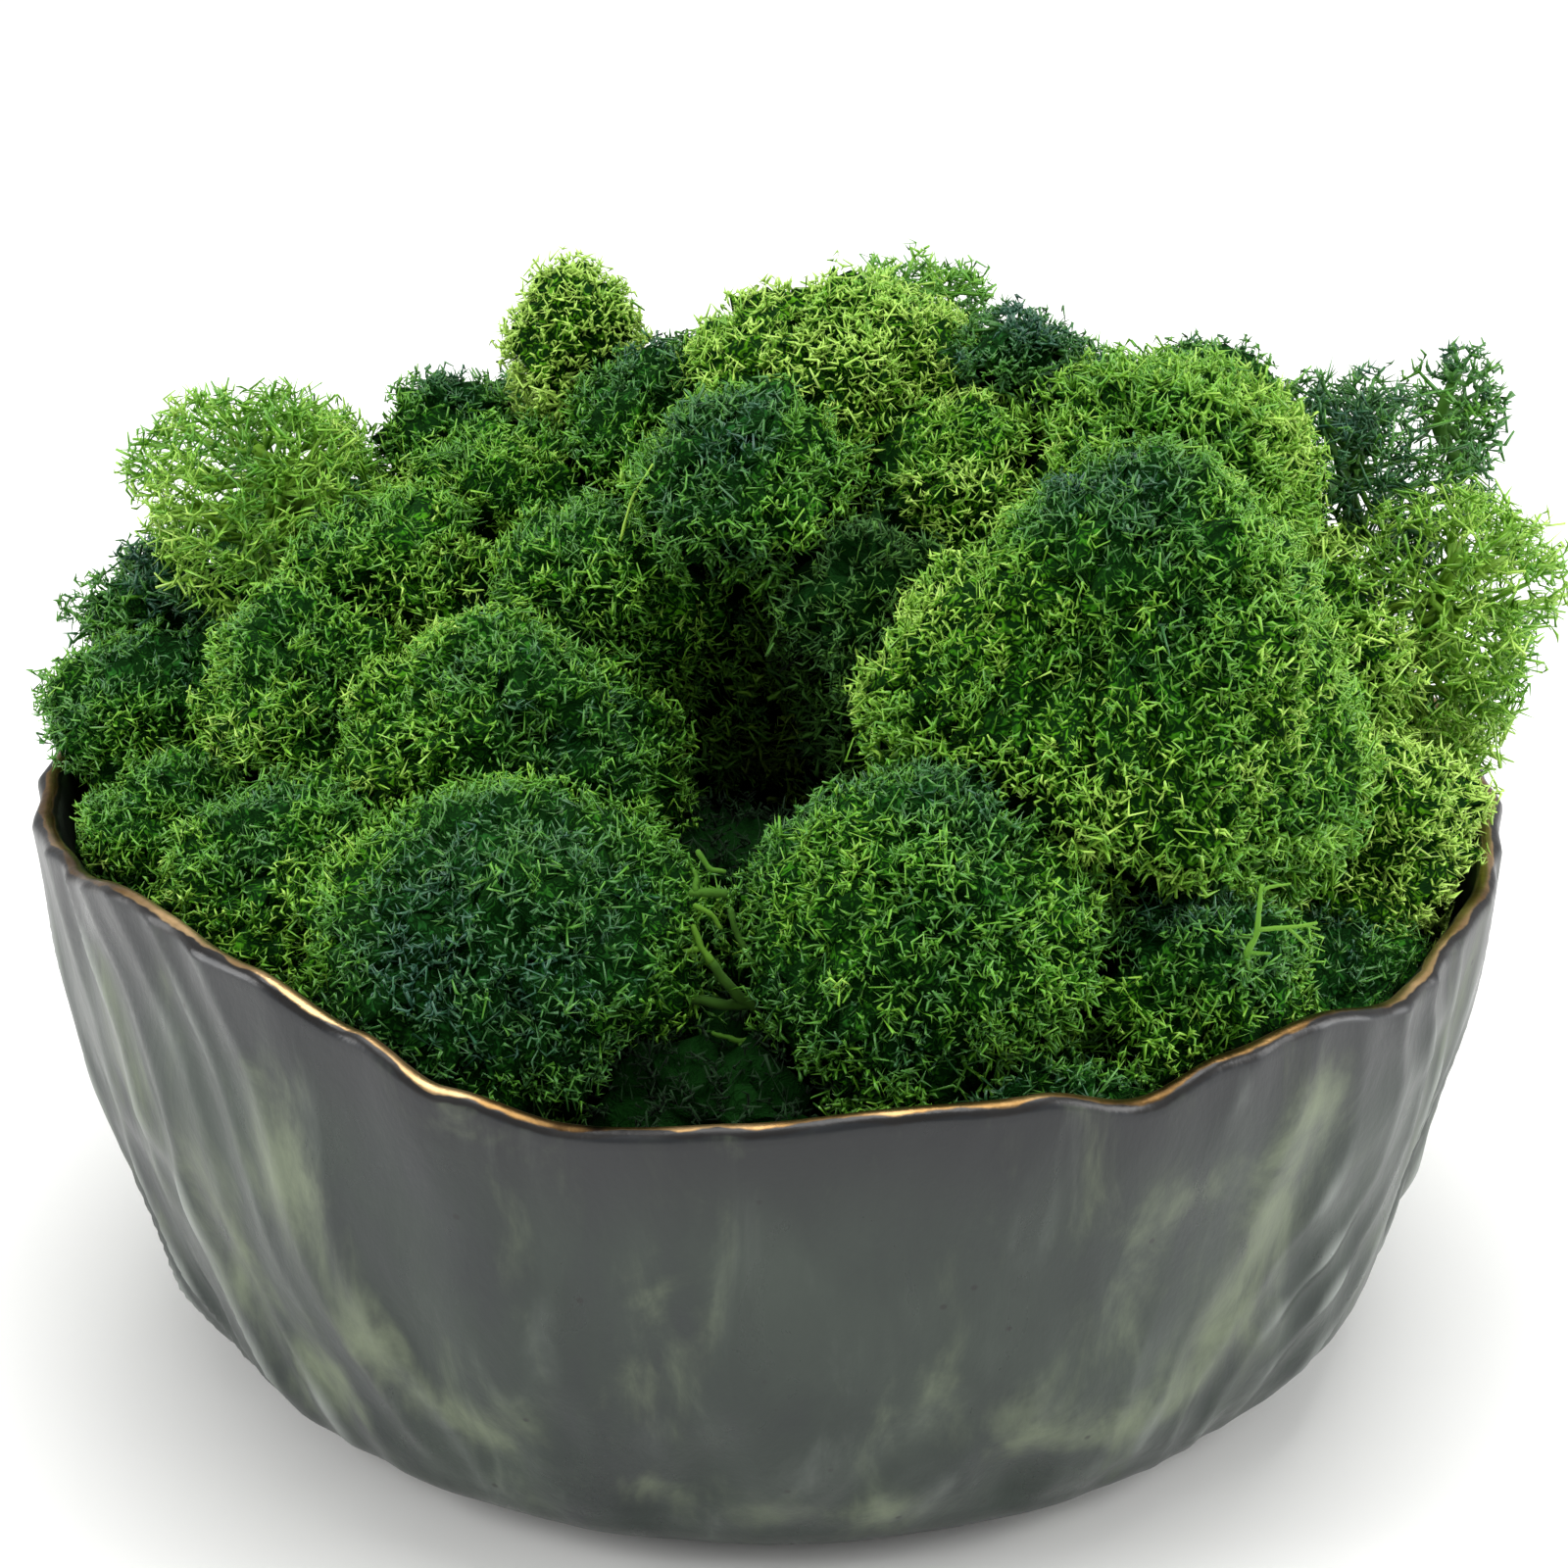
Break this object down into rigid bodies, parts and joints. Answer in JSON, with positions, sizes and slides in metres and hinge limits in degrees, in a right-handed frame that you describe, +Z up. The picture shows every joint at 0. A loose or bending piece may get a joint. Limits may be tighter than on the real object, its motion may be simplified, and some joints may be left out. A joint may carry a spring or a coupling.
{
  "type": "moss clump",
  "caption": "Domed tufts of green dyed reindeer moss packed in a round stoneware bowl with a wavy gilded rim.",
  "frame": {"origin": "centre of the bowl's flat foot, on the surface that it stands on", "axes": "+Z up, -Y towards the bowl's front, +X to the right of the front"},
  "size_m": [0.169, 0.1609, 0.1107],
  "materials": {
    "glazed_stoneware": "stoneware with a satin grey-green reactive glaze and gold lustre on the lip",
    "dyed_moss": "matt dyed and preserved reindeer moss"
  },
  "bodies": {
    "root": {"bowl": "glazed_stoneware", "tuft_front_left": "dyed_moss", "tuft_front_centre": "dyed_moss", "tuft_front_right": "dyed_moss", "tuft_front_gap": "dyed_moss", "tuft_front_low": "dyed_moss", "tuft_left_front": "dyed_moss", "tuft_far_left_low": "dyed_moss", "tuft_far_left_rim": "dyed_moss", "tuft_left_dark": "dyed_moss", "tuft_left_crown": "dyed_moss", "tuft_mid_left": "dyed_moss", "tuft_left_inner": "dyed_moss", "tuft_left_slope": "dyed_moss", "tuft_centre_left": "dyed_moss", "tuft_back_left_low": "dyed_moss", "tuft_back_left_tall": "dyed_moss", "tuft_left_saddle": "dyed_moss", "tuft_back_middle": "dyed_moss", "tuft_centre_crown": "dyed_moss", "tuft_centre_dark": "dyed_moss", "tuft_centre_drop": "dyed_moss", "tuft_centre_right": "dyed_moss", "tuft_far_back": "dyed_moss", "tuft_back_dark": "dyed_moss", "tuft_right_crown": "dyed_moss", "tuft_right_big": "dyed_moss", "tuft_right_back": "dyed_moss", "tuft_right_horn": "dyed_moss", "tuft_right_fan": "dyed_moss", "tuft_right_inner": "dyed_moss", "tuft_right_low": "dyed_moss", "tuft_right_edge": "dyed_moss", "tuft_back_right_dark": "dyed_moss", "tuft_hollow": "dyed_moss", "tuft_rear_left": "dyed_moss", "tuft_rear_left_mid": "dyed_moss", "tuft_rear_middle": "dyed_moss", "tuft_rear_right_mid": "dyed_moss", "tuft_rear_right": "dyed_moss", "tuft_back_ridge": "dyed_moss", "tuft_back_shoulder": "dyed_moss"}
  },
  "joints": []
}
